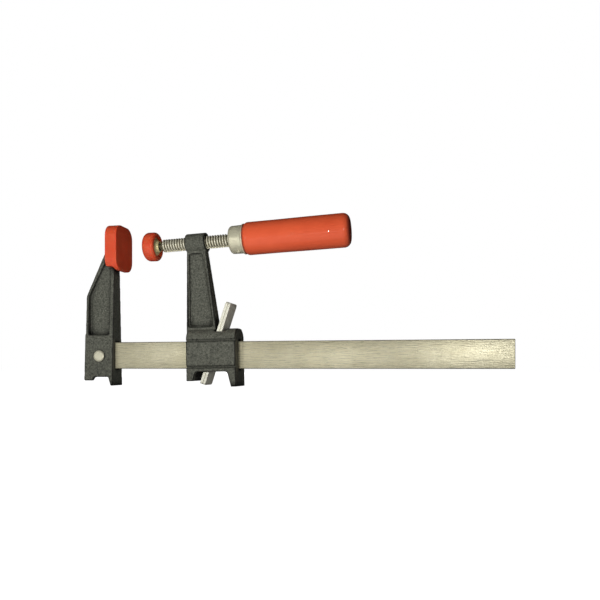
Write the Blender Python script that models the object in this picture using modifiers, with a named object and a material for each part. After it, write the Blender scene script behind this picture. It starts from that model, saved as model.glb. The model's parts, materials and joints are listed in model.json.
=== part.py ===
"""A clutch-style F clamp: a bar clamp with a riveted fixed jaw and a sliding screw jaw.

Run it with blender --background --python part.py, or from Blender's text editor.

Units are metres and +Z is up. The clamp stands on its two feet at Z = 0, with the bar
along X and the middle of its bounding box over the origin. Each group of pieces that
moves hangs from an empty on its own joint's axis:

    bench         X = 0 on the fixed jaw's inner face, Z = 0 on the bar's centre line
    sliding_arm   on the bar's centre line, leaning back by the jaw's play on the bar
    clutch        on the edge that the clutch plates rock about
    screw         at the centre of the swivel's ball, local Z along the spindle
    swivel        at the same centre, local Z along the bar
"""

import math

import bmesh
import bpy
from mathutils import Matrix, Vector

# ---------------------------------------------------------------- driving dimensions

CLEARANCE = 0.0003              # gap left between neighbouring pieces
FLOOR = -0.0288                 # underside of both feet, below the bar's centre line

RAIL_HEIGHT = 0.0254            # the bar is 1 in x 1/4 in
RAIL_THICKNESS = 0.00635
RAIL_START = -0.025
RAIL_END = 0.3654
RAIL_EDGE = 0.0007

JAW_BACK = -0.0295              # fixed jaw
JAW_FRONT = 0.0
JAW_BASE_TOP = 0.0198
JAW_BASE_BOTTOM = -0.0206
FRONT_FOOT_DEPTH = 0.0018
JAW_HALF_WIDTH_AT_FLOOR = 0.0102
JAW_WIDTH_DRAFT = 0.0420        # loss of half width per metre of height
JAW_WEB_HALF_WIDTH = 0.0036
JAW_FLANGE = 0.0045
NOSE_HALF_WIDTH = 0.012
NOSE_BOTTOM = 0.0865
NOSE_TOP = 0.1195
NOSE_BACK = -0.0035
NOSE_FRONT = 0.0040

RIVET_X = -0.0139
RIVET_Z = -0.0006
RIVET_RADIUS = 0.0030
RIVET_HEAD_RADIUS = 0.0056
RIVET_HEAD_HEIGHT = 0.0013

PAD_FACE = 0.0075               # fixed pad cap
PAD_BACK = -0.0040
PAD_HALF_WIDTH = 0.0166
PAD_BOTTOM = 0.0807
PAD_TOP = 0.1237
PAD_CORNER = 0.0105
PAD_SKIRT_BOTTOM = 0.0841
PAD_LIP_BACK = 0.0020

ARM_STATION = 0.100             # sliding jaw: its frame's place along the bar
JAW_CANT = math.radians(1.05)   # it leans back on the bar by this much
HOUSING_BACK = -0.0242          # from here to HOUSING_TOP in the jaw's own frame
HOUSING_FRONT = 0.0230
ARM_BACK = -0.0260
HOUSING_HALF_WIDTH = 0.0145
HOUSING_TOP = 0.0242
HOUSING_SHOULDER = 0.0110
HOUSING_SIDE_BOTTOM = -0.0153
TUNNEL_HALF_WIDTH = 0.0035
TUNNEL_HALF_HEIGHT = 0.01365
CAVITY_HALF_WIDTH = 0.0103
CAVITY_FRONT = 0.0130
ARM_HALF_WIDTH = 0.0071         # at the top of the housing
ARM_WIDTH_DRAFT = 0.0430
ARM_WEB_HALF_WIDTH = 0.0024

CLUTCH_X = 0.1054               # edge that the plates rock about
CLUTCH_Z = 0.0190
CLUTCH_LEAN = math.radians(18.5)
PLATE_THICKNESS = 0.0024
PLATE_HALF_WIDTH = 0.0098
PLATE_TOP = 0.0307              # along the plate, from the edge it rocks about
PLATE_BOTTOM = -0.0485
PLATE_SLOT_TOP = -0.0055
PLATE_SLOT_BOTTOM = -0.0346

SPRING_X = 0.1003               # clutch springs, from the plates to the housing's wall
SPRING_LENGTH = 0.0119
SPRING_Y = 0.0062
SPRING_Z = -0.0080
SPRING_RADIUS = 0.0020
SPRING_WIRE = 0.0008
SPRING_TURNS = 5

BALL_X = 0.0395                 # centre of the swivel's ball
BALL_Z = 0.10314
SCREW_RISE = math.radians(2.5)  # the spindle rises towards the handle
SCREW_RADIUS = 0.0060           # 10 threads to the inch, drawn as a plain shank of its outer diameter
SCREW_BORE = 0.0063
JOURNAL_RADIUS = 0.0022
BALL_RADIUS = 0.0045
BALL_BORE = 0.0025
BOSS_START = 0.0324             # from here to HANDLE_END along the spindle from the ball
BOSS_END = 0.05185
BOSS_RADIUS = 0.0090
NECK_START = 0.0062
THREAD_START = 0.0090
FERRULE_START = 0.0751
PIN_STATION = 0.0833
FERRULE_END = 0.0889
SPINDLE_END = 0.1500
HANDLE_END = 0.1867
FERRULE_RADIUS = 0.0128
FERRULE_RIM_RADIUS = 0.0140
TENON_RADIUS = 0.0107
HANDLE_RADIUS = 0.0150
HANDLE_TAIL_RADIUS = 0.01525
PIN_RADIUS = 0.0015
PIN_HALF_LENGTH = 0.0139
PIN_TURN = math.radians(20)     # the pin leans towards -Y by this much

SHOE_DISC_RADIUS = 0.0110       # swivel pad
SHOE_DISC_BACK = -0.0065
SHOE_MOUTH = 0.0050
SWIVEL_FACE = -0.0092
SWIVEL_CAP_BACK = 0.0029
SWIVEL_RADIUS = 0.0135
SWIVEL_OPENING = 0.0093

ROUND_STEPS = 32
PARTS_NAME = "f_clamp"
CUTTERS_NAME = "cutters"


# ---------------------------------------------------------------- scene and materials

def clear_scene():
    """Remove every object, so that the script can be run again."""
    for item in list(bpy.data.objects):
        bpy.data.objects.remove(item, do_unlink=True)


def make_collection(name):
    collection = bpy.data.collections.new(name)
    bpy.context.scene.collection.children.link(collection)
    return collection


def make_material(name, color, roughness, metallic):
    material = bpy.data.materials.new(name)
    material.use_nodes = True
    material.diffuse_color = (*color, 1.0)
    shader = material.node_tree.nodes["Principled BSDF"]
    shader.inputs["Base Color"].default_value = (*color, 1.0)
    shader.inputs["Roughness"].default_value = roughness
    shader.inputs["Metallic"].default_value = metallic
    return material


def painted_casting(name):
    return make_material(name, (0.035, 0.036, 0.030), 0.65, 0.0)


def red_plastic(name):
    return make_material(name, (0.66, 0.085, 0.035), 0.42, 0.0)


def bright_steel(name):
    return make_material(name, (0.52, 0.50, 0.40), 0.38, 1.0)


def yellow_zinc(name):
    return make_material(name, (0.50, 0.40, 0.16), 0.35, 1.0)


def spring_steel(name):
    return make_material(name, (0.30, 0.30, 0.31), 0.40, 1.0)


def lacquered_wood(name):
    return make_material(name, (0.64, 0.09, 0.035), 0.30, 0.0)


# ---------------------------------------------------------------- modelling tools

def add_empty(name, location, rotation_y, parent, collection):
    """A frame for a group of pieces, turned about Y by rotation_y."""
    empty = bpy.data.objects.new(name, None)
    empty.location = location
    empty.rotation_euler = (0.0, rotation_y, 0.0)
    empty.empty_display_size = 0.01
    empty.parent = parent
    collection.objects.link(empty)
    return empty


def add_object(name, data, parent, collection, matrix=None):
    """Link an object under its frame, with an optional matrix in that frame."""
    item = bpy.data.objects.new(name, data)
    item.parent = parent
    item.matrix_basis = matrix or Matrix.Identity(4)
    collection.objects.link(item)
    return item


def box(name, low, high, parent, collection):
    """A box between two opposite corners, in its frame."""
    low = Vector(low)
    high = Vector(high)
    size = high - low
    shape = bmesh.new()
    place = Matrix.Translation((low + high) / 2) @ Matrix.Diagonal((*size, 1.0))
    bmesh.ops.create_cube(shape, size=1.0, matrix=place)
    mesh = bpy.data.meshes.new(name)
    shape.to_mesh(mesh)
    shape.free()
    return add_object(name, mesh, parent, collection)


def cylinder(name, radius, low, high, parent, collection, matrix=None):
    """A cylinder along local Z from low to high."""
    shape = bmesh.new()
    bmesh.ops.create_cone(
        shape,
        cap_ends=True,
        segments=ROUND_STEPS,
        radius1=radius,
        radius2=radius,
        depth=high - low,
        matrix=Matrix.Translation((0.0, 0.0, (low + high) / 2)),
    )
    mesh = bpy.data.meshes.new(name)
    shape.to_mesh(mesh)
    shape.free()
    item = add_object(name, mesh, parent, collection, matrix)
    smooth(item)
    return item


def smooth(item):
    """Shade a piece smooth, except over its sharp edges."""
    item.data.shade_smooth()
    item.data.set_sharp_from_angle(angle=math.radians(35))


def arc(centre, radius, start, end, steps):
    """Points of an arc; angles in degrees from the first axis towards the second."""
    points = []
    for step in range(steps + 1):
        angle = math.radians(start + (end - start) * step / steps)
        points.append((centre[0] + radius * math.cos(angle), centre[1] + radius * math.sin(angle)))
    return points


def rounded(corners, steps=4):
    """An outline whose corners are (x, y, radius), with an arc at each radius."""
    points = []
    for index, (x, y, radius) in enumerate(corners):
        here = Vector((x, y))
        if radius == 0.0:
            points.append(here)
            continue
        before = (Vector(corners[index - 1][:2]) - here).normalized()
        after = (Vector(corners[(index + 1) % len(corners)][:2]) - here).normalized()
        half = before.angle(after) / 2
        centre = here + (before + after).normalized() * (radius / math.sin(half))
        start = here + before * (radius / math.tan(half)) - centre
        end = here + after * (radius / math.tan(half)) - centre
        sweep = start.angle_signed(end)
        for step in range(steps + 1):
            turned_by = Matrix.Rotation(-sweep * step / steps, 2)
            points.append(centre + turned_by @ start)
    return points


ACROSS_Y = Matrix.Rotation(math.pi / 2, 4, "X")
ALONG_X = Matrix.Rotation(math.pi / 2, 4, "Z") @ Matrix.Rotation(math.pi / 2, 4, "X")


def prism(name, outlines, low, high, orientation, parent, collection):
    """A flat outline, with any holes in it, given thickness from low to high.

    ACROSS_Y draws the outline in X and Z, and ALONG_X draws it in Y and Z.
    """
    curve = bpy.data.curves.new(name, "CURVE")
    curve.dimensions = "2D"
    curve.fill_mode = "BOTH"
    curve.extrude = (high - low) / 2
    for outline in outlines:
        spline = curve.splines.new("POLY")
        spline.points.add(len(outline) - 1)
        for point, (x, y) in zip(spline.points, outline):
            point.co = (x, y, 0.0, 1.0)
        spline.use_cyclic_u = True
    middle = (low + high) / 2
    if orientation == ACROSS_Y:
        shift = Matrix.Translation((0.0, middle, 0.0))
    else:
        shift = Matrix.Translation((middle, 0.0, 0.0))
    drawn = add_object(name + "_outline", curve, parent, collection, shift @ orientation)
    return curve_to_mesh(name, drawn, parent, collection)


def curve_to_mesh(name, drawn, parent, collection):
    """Replace a curve object with a welded mesh in the same place."""
    bpy.context.view_layer.update()
    evaluated = drawn.evaluated_get(bpy.context.evaluated_depsgraph_get())
    mesh = bpy.data.meshes.new_from_object(evaluated)
    mesh.name = name
    shape = bmesh.new()
    shape.from_mesh(mesh)
    bmesh.ops.remove_doubles(shape, verts=shape.verts, dist=0.00001)
    bmesh.ops.recalc_face_normals(shape, faces=shape.faces)
    shape.to_mesh(mesh)
    shape.free()
    item = bpy.data.objects.new(name, mesh)
    collection.objects.link(item)
    item.parent = parent
    item.matrix_world = drawn.matrix_world
    bpy.data.objects.remove(drawn, do_unlink=True)
    return item


def turned(name, profile, closed, parent, collection, matrix=None):
    """A profile of (radius, z) points turned about local Z.

    The points run down the outer side. A closed profile is a ring's section.
    """
    shape = bmesh.new()
    vertices = [shape.verts.new((radius, 0.0, z)) for radius, z in profile]
    for first, second in zip(vertices, vertices[1:]):
        shape.edges.new((first, second))
    if closed:
        shape.edges.new((vertices[-1], vertices[0]))
    mesh = bpy.data.meshes.new(name)
    shape.to_mesh(mesh)
    shape.free()
    item = add_object(name, mesh, parent, collection, matrix)
    screw = item.modifiers.new("turn", "SCREW")
    screw.axis = "Z"
    screw.angle = math.tau
    screw.steps = ROUND_STEPS
    screw.render_steps = ROUND_STEPS
    screw.use_merge_vertices = True
    screw.merge_threshold = 0.00001
    screw.use_smooth_shade = True
    return item


def bevel(item, width, segments=2):
    """Round the edges of a piece."""
    modifier = item.modifiers.new("round", "BEVEL")
    modifier.width = width
    modifier.segments = segments
    modifier.limit_method = "ANGLE"
    modifier.angle_limit = math.radians(40)
    return modifier


def combine(item, other, operation):
    """Cut or join another object into this one, and keep it as a guide."""
    other.hide_render = True
    other.display_type = "WIRE"
    modifier = item.modifiers.new(other.name, "BOOLEAN")
    modifier.operation = operation
    modifier.solver = "EXACT"
    modifier.object = other


def cut(item, *others):
    for other in others:
        combine(item, other, "DIFFERENCE")


def join(item, *others):
    for other in others:
        combine(item, other, "UNION")


def taper_width(item, half_width_at):
    """Narrow a piece drawn at half width 1 so that its sides follow a draft."""
    for vertex in item.data.vertices:
        place = item.matrix_basis @ vertex.co
        place.y *= half_width_at(place.z)
        vertex.co = item.matrix_basis.inverted() @ place


def paint(item, material):
    item.data.materials.clear()
    item.data.materials.append(material)


# ---------------------------------------------------------------- the bar

def make_rail(bench, parts, cutters):
    half_height = RAIL_HEIGHT / 2
    half_thickness = RAIL_THICKNESS / 2
    rail = box(
        "rail",
        (RAIL_START, -half_thickness, -half_height),
        (RAIL_END, half_thickness, half_height),
        bench,
        parts,
    )
    bevel(rail, RAIL_EDGE)
    cut(rail, rivet_hole("rail_rivet_hole", bench, cutters))
    paint(rail, bright_steel("bar_steel"))
    return rail


def rivet_hole(name, bench, cutters):
    place = Matrix.Translation((RIVET_X, 0.0, RIVET_Z)) @ ACROSS_Y
    return cylinder(name, RIVET_RADIUS + CLEARANCE, -0.02, 0.02, bench, cutters, place)


# ---------------------------------------------------------------- the fixed jaw

def jaw_half_width(height):
    return JAW_HALF_WIDTH_AT_FLOOR - JAW_WIDTH_DRAFT * (height - FLOOR)


def make_fixed_jaw(bench, parts, cutters):
    slope_foot = 0.0573
    slope_top = 0.1108
    slope_back = -0.0050
    outline = rounded([
        (JAW_FRONT, FLOOR, 0.0004),
        (JAW_FRONT, slope_top, 0.0),
        (slope_back, slope_top, 0.0),
        (JAW_BACK + 0.0008, slope_foot, 0.003),
        (JAW_BACK + 0.0008, JAW_BASE_TOP + 0.0015, 0.0),
        (JAW_BACK, JAW_BASE_TOP, 0.0008),
        (JAW_BACK, JAW_BASE_BOTTOM, 0.0008),
        (-FRONT_FOOT_DEPTH, JAW_BASE_BOTTOM, 0.0008),
        (-FRONT_FOOT_DEPTH, FLOOR, 0.0004),
    ])
    jaw = prism("fixed_jaw", [outline], -1.0, 1.0, ACROSS_Y, bench, parts)
    taper_width(jaw, jaw_half_width)
    join(jaw, rear_foot(bench, cutters))
    for side in (-1, 1):
        cut(jaw, web_recess(side, slope_foot, bench, cutters))
    nose_outline = rounded([
        (-NOSE_HALF_WIDTH, NOSE_BOTTOM, 0.006),
        (NOSE_HALF_WIDTH, NOSE_BOTTOM, 0.006),
        (NOSE_HALF_WIDTH, NOSE_TOP, 0.006),
        (-NOSE_HALF_WIDTH, NOSE_TOP, 0.006),
    ])
    nose = prism("jaw_nose", [nose_outline], NOSE_BACK, NOSE_FRONT, ALONG_X, bench, cutters)
    join(jaw, nose)
    half_thickness = RAIL_THICKNESS / 2 + CLEARANCE
    half_height = RAIL_HEIGHT / 2 + CLEARANCE
    pocket = box(
        "rail_pocket",
        (RAIL_START - CLEARANCE, -half_thickness, -half_height),
        (JAW_FRONT + 0.005, half_thickness, half_height),
        bench,
        cutters,
    )
    cut(jaw, pocket, rivet_hole("jaw_rivet_hole", bench, cutters))
    paint(jaw, painted_casting("fixed_jaw_paint"))
    return jaw


def rear_foot(bench, cutters):
    """The short foot under the jaw's back, on its near side only."""
    bottom = -0.0240
    root = JAW_BASE_BOTTOM + 0.0010
    outline = rounded([
        (JAW_BACK, root, 0.0),
        (JAW_BACK, bottom, 0.0012),
        (-0.0210, bottom, 0.0008),
        (-0.0182, root, 0.0),
    ])
    side = -jaw_half_width(bottom) + 0.0001
    return prism("rear_foot", [outline], side, side + 0.0040, ACROSS_Y, bench, cutters)


def web_recess(side, slope_foot, bench, cutters):
    """The hollow on one side of the jaw's web, between its two flanges."""
    back = JAW_BACK + 0.0040
    front = JAW_FRONT - JAW_FLANGE
    outline = rounded([
        (back, JAW_BASE_TOP, 0.0008),
        (front, JAW_BASE_TOP, 0.0008),
        (front, 0.0995, 0.0),
        (back, slope_foot - 0.0005, 0.003),
    ])
    near, far = sorted((side * JAW_WEB_HALF_WIDTH, side * 0.015))
    return prism(f"web_recess_{side + 1}", [outline], near, far, ACROSS_Y, bench, cutters)


def make_rivet(bench, parts):
    """One solid rivet, headed flat on both sides of the jaw."""
    seat = jaw_half_width(RIVET_Z - RIVET_HEAD_RADIUS) + CLEARANCE
    top = seat + RIVET_HEAD_HEIGHT
    head = [
        (0.0, top),
        (RIVET_HEAD_RADIUS - 0.0013, top),
        (RIVET_HEAD_RADIUS - 0.0004, top - 0.0004),
        (RIVET_HEAD_RADIUS, seat + 0.0003),
        (RIVET_HEAD_RADIUS, seat),
        (RIVET_RADIUS, seat),
    ]
    tail = [(radius, -height) for radius, height in reversed(head)]
    place = Matrix.Translation((RIVET_X, 0.0, RIVET_Z)) @ ACROSS_Y
    rivet = turned("jaw_rivet", head + tail, False, bench, parts, place)
    paint(rivet, bright_steel("rivet_steel"))
    return rivet


def make_fixed_pad_cap(bench, parts, cutters):
    """The plastic cap pushed over the jaw's nose, with a lip in front of the arm."""
    outer = rounded([
        (-PAD_HALF_WIDTH, PAD_BOTTOM, PAD_CORNER),
        (PAD_HALF_WIDTH, PAD_BOTTOM, PAD_CORNER),
        (PAD_HALF_WIDTH, PAD_TOP, PAD_CORNER),
        (-PAD_HALF_WIDTH, PAD_TOP, PAD_CORNER),
    ], steps=6)
    cap = prism("fixed_pad_cap", [outer], PAD_BACK, PAD_FACE, ALONG_X, bench, parts)
    bevel(cap, 0.0009)
    gap = CLEARANCE
    hollow_outline = rounded([
        (-NOSE_HALF_WIDTH - gap, NOSE_BOTTOM - gap, 0.006),
        (NOSE_HALF_WIDTH + gap, NOSE_BOTTOM - gap, 0.006),
        (NOSE_HALF_WIDTH + gap, NOSE_TOP + gap, 0.006),
        (-NOSE_HALF_WIDTH - gap, NOSE_TOP + gap, 0.006),
    ])
    hollow = prism(
        "pad_hollow", [hollow_outline], PAD_BACK - 0.004, NOSE_FRONT + gap, ALONG_X, bench, cutters
    )
    step_outline = rounded([
        (PAD_BACK - 0.004, PAD_BOTTOM - 0.003, 0.0),
        (PAD_LIP_BACK, PAD_BOTTOM - 0.003, 0.0),
        (PAD_LIP_BACK, PAD_SKIRT_BOTTOM, 0.0015),
        (PAD_BACK - 0.004, PAD_SKIRT_BOTTOM, 0.0),
    ])
    step = prism("pad_step", [step_outline], -0.02, 0.02, ACROSS_Y, bench, cutters)
    slot_half_width = jaw_half_width(PAD_SKIRT_BOTTOM) + CLEARANCE
    slot = box(
        "pad_arm_slot",
        (PAD_BACK - 0.004, -slot_half_width, PAD_BOTTOM - 0.001),
        (JAW_FRONT + CLEARANCE, slot_half_width, NOSE_BOTTOM + 0.004),
        bench,
        cutters,
    )
    cut(cap, hollow, step, slot)
    paint(cap, red_plastic("fixed_pad_red"))
    return cap


# ---------------------------------------------------------------- the sliding jaw

def arm_half_width(height):
    return ARM_HALF_WIDTH - ARM_WIDTH_DRAFT * (height - HOUSING_TOP)


def arm_front(height):
    """The arm's sloping front edge, in the jaw's own frame."""
    return 0.0031 - 0.1349 * (height - 0.02295)


def make_sliding_jaw(arm, screw, parts, cutters):
    section = rounded([
        (-HOUSING_HALF_WIDTH, FLOOR - 0.002, 0.0),
        (HOUSING_HALF_WIDTH, FLOOR - 0.002, 0.0),
        (HOUSING_HALF_WIDTH, HOUSING_TOP, HOUSING_SHOULDER),
        (-HOUSING_HALF_WIDTH, HOUSING_TOP, HOUSING_SHOULDER),
    ], steps=6)
    jaw = prism("sliding_jaw", [section], HOUSING_BACK, HOUSING_FRONT, ALONG_X, arm, parts)
    cut(jaw, underside_arch(arm, cutters), floor_plane(arm.parent, cutters))
    boss_centre = BOSS_START / 2 + BOSS_END / 2
    arm_top = (screw.location.z + boss_centre * math.sin(SCREW_RISE)) / math.cos(JAW_CANT)
    arm_foot = HOUSING_TOP - HOUSING_SHOULDER / 2
    outline = rounded([
        (ARM_BACK, arm_foot, 0.0),
        (arm_front(arm_foot), arm_foot, 0.0),
        (arm_front(arm_top), arm_top, 0.0),
        (ARM_BACK + 0.0004, arm_top, 0.0),
    ])
    upright = prism("arm_upright", [outline], -1.0, 1.0, ACROSS_Y, arm, cutters)
    taper_width(upright, arm_half_width)
    boss = cylinder("screw_boss", BOSS_RADIUS, BOSS_START, BOSS_END, screw, cutters)
    bevel(boss, 0.0009)
    join(jaw, upright, boss)
    for side in (-1, 1):
        cut(jaw, arm_pocket(side, arm, cutters))
    bore = cylinder("screw_bore", SCREW_BORE, BOSS_START - 0.01, BOSS_END + 0.01, screw, cutters)
    tunnel = box(
        "rail_tunnel",
        (HOUSING_BACK - 0.005, -TUNNEL_HALF_WIDTH, -TUNNEL_HALF_HEIGHT),
        (HOUSING_FRONT + 0.005, TUNNEL_HALF_WIDTH, TUNNEL_HALF_HEIGHT),
        arm,
        cutters,
    )
    cut(jaw, bore, clutch_cavity(arm, cutters), tunnel)
    paint(jaw, painted_casting("sliding_jaw_paint"))
    return jaw


def underside_arch(arm, cutters):
    """What is open under the housing, between its two feet and below the back one."""
    foot_bottom = -0.0237
    depth = FLOOR - 0.008
    outline = rounded([
        (HOUSING_BACK - 0.004, depth, 0.0),
        (HOUSING_BACK - 0.004, foot_bottom, 0.0),
        (-0.0178, foot_bottom, 0.0008),
        (-0.0155, HOUSING_SIDE_BOTTOM, 0.0020),
        (0.0148, HOUSING_SIDE_BOTTOM, 0.0030),
        (0.0182, FLOOR, 0.0),
        (0.0182, depth, 0.0),
    ])
    return prism("underside_arch", [outline], -0.02, 0.02, ACROSS_Y, arm, cutters)


def floor_plane(bench, cutters):
    return box("floor_plane", (0.05, -0.03, FLOOR - 0.02), (0.15, 0.03, FLOOR), bench, cutters)


def clutch_cavity(arm, cutters):
    """The hollow for the clutch plates, open above and below.

    Its back wall slopes with the plates, and is the edge that they rock about.
    """
    lean = math.tan(CLUTCH_LEAN + JAW_CANT)
    top_back = 0.0033

    def back_wall(height):
        return top_back - (HOUSING_TOP - height) * lean

    above = HOUSING_TOP + 0.006
    below = HOUSING_SIDE_BOTTOM - 0.005
    step = 0.002
    outline = [
        (back_wall(above), above),
        (CAVITY_FRONT, above),
        (CAVITY_FRONT, below),
        (-0.0170, below),
        (-0.0170, step),
        (back_wall(step), step),
    ]
    half_width = CAVITY_HALF_WIDTH
    return prism("clutch_cavity", [outline], -half_width, half_width, ACROSS_Y, arm, cutters)


def arm_pocket(side, arm, cutters):
    """The recess on one side of the upright, inside its raised rims."""
    bottom = 0.0275
    top = 0.0950
    rim = 0.0032
    outline = rounded([
        (ARM_BACK + 0.0018, bottom, 0.0015),
        (arm_front(bottom) - rim, bottom, 0.0015),
        (arm_front(top) - rim, top, 0.0015),
        (ARM_BACK + 0.0018, top, 0.0015),
    ])
    near, far = sorted((side * ARM_WEB_HALF_WIDTH, side * 0.02))
    return prism(f"arm_pocket_{side + 1}", [outline], near, far, ACROSS_Y, arm, cutters)


# ---------------------------------------------------------------- the clutch

def make_clutch_plate(name, position, clutch, parts):
    """One of the slotted plates that grip the bar; position is -1 or 1."""
    outer = rounded([
        (-PLATE_HALF_WIDTH, PLATE_BOTTOM, 0.0020),
        (PLATE_HALF_WIDTH, PLATE_BOTTOM, 0.0020),
        (PLATE_HALF_WIDTH, PLATE_TOP, 0.0030),
        (-PLATE_HALF_WIDTH, PLATE_TOP, 0.0030),
    ])
    slot = rounded([
        (-TUNNEL_HALF_WIDTH, PLATE_SLOT_BOTTOM, 0.0),
        (TUNNEL_HALF_WIDTH, PLATE_SLOT_BOTTOM, 0.0),
        (TUNNEL_HALF_WIDTH, PLATE_SLOT_TOP, 0.0),
        (-TUNNEL_HALF_WIDTH, PLATE_SLOT_TOP, 0.0),
    ])
    middle = position * (PLATE_THICKNESS + CLEARANCE) / 2
    low = middle - PLATE_THICKNESS / 2
    high = middle + PLATE_THICKNESS / 2
    plate = prism(name, [outer, slot], low, high, ALONG_X, clutch, parts)
    paint(plate, bright_steel(name + "_steel"))
    return plate


def make_clutch_spring(name, side, bench, parts):
    """A small compression spring beside the bar, behind the clutch plates."""
    points_per_turn = 10
    count = SPRING_TURNS * points_per_turn + 1
    curve = bpy.data.curves.new(name, "CURVE")
    curve.dimensions = "3D"
    curve.bevel_depth = SPRING_WIRE / 2
    curve.bevel_resolution = 1
    curve.use_fill_caps = True
    spline = curve.splines.new("POLY")
    spline.points.add(count - 1)
    start = SPRING_X + SPRING_WIRE / 2
    run = SPRING_LENGTH - SPRING_WIRE
    for index, point in enumerate(spline.points):
        angle = math.tau * index / points_per_turn
        x = start + run * index / (count - 1)
        y = side * SPRING_Y + SPRING_RADIUS * math.cos(angle)
        z = SPRING_Z + SPRING_RADIUS * math.sin(angle)
        point.co = (x, y, z, 1.0)
    drawn = add_object(name + "_wire", curve, bench, parts)
    spring = curve_to_mesh(name, drawn, bench, parts)
    smooth(spring)
    paint(spring, spring_steel(name + "_steel"))
    return spring


# ---------------------------------------------------------------- the screw

def make_spindle(screw, parts, cutters):
    """The threaded spindle, with the journal that carries the ball at its tip."""
    ball_end = math.sqrt(BALL_RADIUS ** 2 - BALL_BORE ** 2)
    head_top = -ball_end - CLEARANCE
    head_radius = 0.0028
    profile = [
        (0.0, SPINDLE_END),
        (SCREW_RADIUS - 0.0008, SPINDLE_END),
        (SCREW_RADIUS, SPINDLE_END - 0.0008),
        (SCREW_RADIUS, THREAD_START),
        (JOURNAL_RADIUS, NECK_START),
        (JOURNAL_RADIUS, head_top),
        (head_radius, head_top),
        (head_radius, head_top - 0.0003),
        (head_radius - 0.0006, head_top - 0.0005),
        (0.0, head_top - 0.0005),
    ]
    spindle = turned("spindle", profile, False, screw, parts)
    cut(spindle, pin_hole("spindle_pin_hole", screw, cutters))
    paint(spindle, bright_steel("spindle_steel"))
    return spindle


def pin_place():
    """The cross pin's axis, as local Z: downwards, leaning towards -Y."""
    across = Matrix.Rotation(-PIN_TURN, 4, "Z") @ Matrix.Rotation(math.pi / 2, 4, "Y")
    return Matrix.Translation((0.0, 0.0, PIN_STATION)) @ across


def pin_hole(name, screw, cutters):
    return cylinder(name, PIN_RADIUS + CLEARANCE, -0.02, 0.02, screw, cutters, pin_place())


def make_ferrule(screw, parts, cutters):
    """The pressed steel cup over the front of the handle."""
    inner = TENON_RADIUS + CLEARANCE
    front_wall = FERRULE_START + 0.0020
    edge = 0.0025
    profile = [
        (inner, FERRULE_END),
        (FERRULE_RIM_RADIUS, FERRULE_END),
        (FERRULE_RIM_RADIUS, FERRULE_END - 0.0008),
        (FERRULE_RIM_RADIUS - 0.0007, FERRULE_END - 0.0020),
    ]
    corner = (FERRULE_RADIUS - edge, FERRULE_START + edge)
    profile += arc(corner, edge, 0, -90, 4)
    profile += [
        (SCREW_BORE, FERRULE_START),
        (SCREW_BORE, front_wall),
        (inner, front_wall),
    ]
    ferrule = turned("ferrule", profile, True, screw, parts)
    cut(ferrule, pin_hole("ferrule_pin_hole", screw, cutters))
    paint(ferrule, bright_steel("ferrule_steel"))
    return ferrule


def make_handle(screw, parts, cutters):
    """The wooden handle, bored for the spindle, with a tenon inside the ferrule."""
    shoulder = FERRULE_END + CLEARANCE
    front_edge = 0.0035
    tail_edge = 0.0045
    tail = (HANDLE_TAIL_RADIUS - tail_edge, HANDLE_END - tail_edge)
    front = (HANDLE_RADIUS - front_edge, shoulder + front_edge)
    profile = [(0.0, HANDLE_END)]
    profile += arc(tail, tail_edge, 90, 0, 5)
    profile += arc(front, front_edge, 0, -90, 4)
    profile += [
        (TENON_RADIUS, shoulder),
        (TENON_RADIUS, FERRULE_START + 0.0024),
        (SCREW_BORE, FERRULE_START + 0.0024),
        (SCREW_BORE, SPINDLE_END + CLEARANCE),
        (0.0, SPINDLE_END + CLEARANCE),
    ]
    handle = turned("handle", profile, False, screw, parts)
    cut(handle, pin_hole("handle_pin_hole", screw, cutters))
    paint(handle, lacquered_wood("handle_red"))
    return handle


def make_handle_pin(screw, parts):
    """The cross pin through the ferrule, the tenon and the spindle."""
    dome = 0.0005
    profile = [
        (0.0, PIN_HALF_LENGTH),
        (PIN_RADIUS * 0.7, PIN_HALF_LENGTH - dome / 3),
        (PIN_RADIUS, PIN_HALF_LENGTH - dome),
        (PIN_RADIUS, -PIN_HALF_LENGTH + dome),
        (PIN_RADIUS * 0.7, -PIN_HALF_LENGTH + dome / 3),
        (0.0, -PIN_HALF_LENGTH),
    ]
    pin = turned("handle_pin", profile, False, screw, parts, pin_place())
    paint(pin, bright_steel("pin_steel"))
    return pin


# ---------------------------------------------------------------- the swivel pad

def make_swivel_ball(screw, parts):
    """A bored ball that turns on the spindle's journal behind its peened tip."""
    edge = math.degrees(math.acos(BALL_BORE / BALL_RADIUS))
    profile = arc((0.0, 0.0), BALL_RADIUS, edge, -edge, 10)
    ball = turned("swivel_ball", profile, True, screw, parts)
    paint(ball, spring_steel("ball_steel"))
    return ball


def make_swivel_ring(screw, parts):
    """A cupped ring between the back of the ball and the crimped mouth of the shoe."""
    inner = BALL_RADIUS + CLEARANCE
    outer = 0.0056
    profile = arc((0.0, 0.0), outer, 38, 13, 4)
    profile += arc((0.0, 0.0), inner, 13, 38, 4)
    ring = turned("swivel_ring", profile, True, screw, parts)
    paint(ring, spring_steel("ring_steel"))
    return ring


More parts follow.
